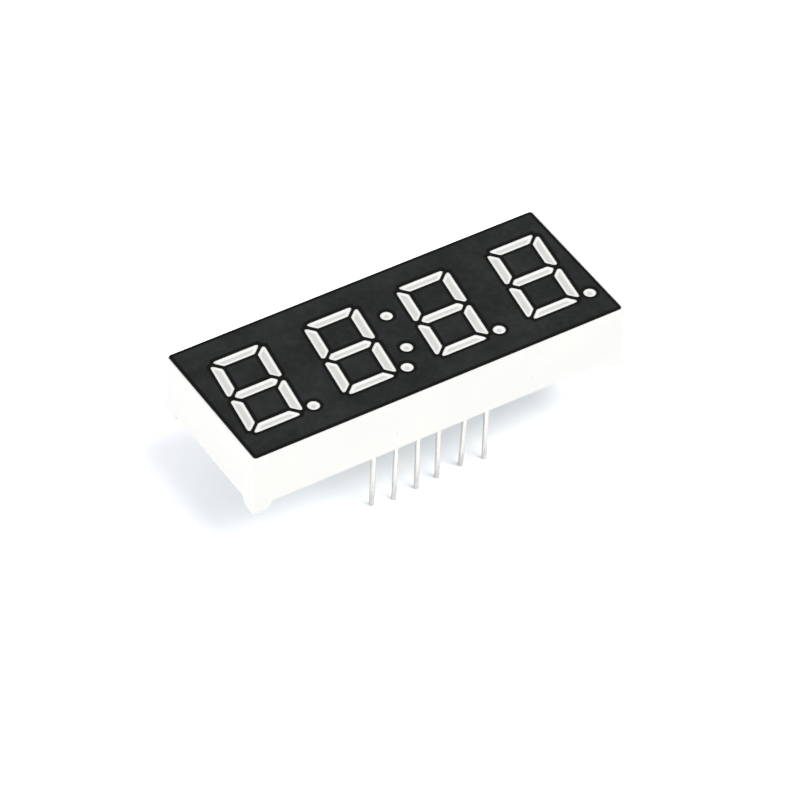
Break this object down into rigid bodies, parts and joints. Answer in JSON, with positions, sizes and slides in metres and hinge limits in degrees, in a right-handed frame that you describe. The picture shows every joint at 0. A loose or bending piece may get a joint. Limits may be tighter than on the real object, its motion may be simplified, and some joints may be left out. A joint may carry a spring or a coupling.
{
  "type": "four-digit seven-segment display",
  "caption": "Slanted seven-segment clock display module: white reflector housing, black face film, resin light guides with colon and decimal points, round leads in two rows.",
  "frame": {"origin": "centre of the seating plane, the plane of the four corner feet, midway between the two rows of leads", "axes": "+X along the row of digits in reading order, +Y to the tops of the digits, +Z out of the lit face"},
  "size_m": [0.0402, 0.016, 0.014],
  "materials": {
    "white_housing": "satin moulded white",
    "black_film": "matt black printed film",
    "cast_resin": "milky diffusing epoxy",
    "board_laminate": "solder-masked glass laminate",
    "led_die": "sawn crystal chip",
    "gold_copper": "gold-flashed copper",
    "tinned_lead": "bright tinned wire",
    "solder": "bright solder"
  },
  "bodies": {
    "root": {"reflector_housing": "white_housing", "face_film": "black_film", "resin_fill": "cast_resin", "circuit_board": "board_laminate", "led_chips_digit_1": "led_die", "led_chips_digit_2": "led_die", "led_chips_digit_3": "led_die", "led_chips_digit_4": "led_die", "led_chips_colon": "led_die", "die_pads": "gold_copper", "pin_pads": "gold_copper", "solder_joints": "solder", "pin_1": "tinned_lead", "pin_2": "tinned_lead", "pin_3": "tinned_lead", "pin_4": "tinned_lead", "pin_5": "tinned_lead", "pin_6": "tinned_lead", "pin_7": "tinned_lead", "pin_8": "tinned_lead", "pin_9": "tinned_lead", "pin_10": "tinned_lead", "pin_11": "tinned_lead", "pin_12": "tinned_lead"}
  },
  "joints": []
}
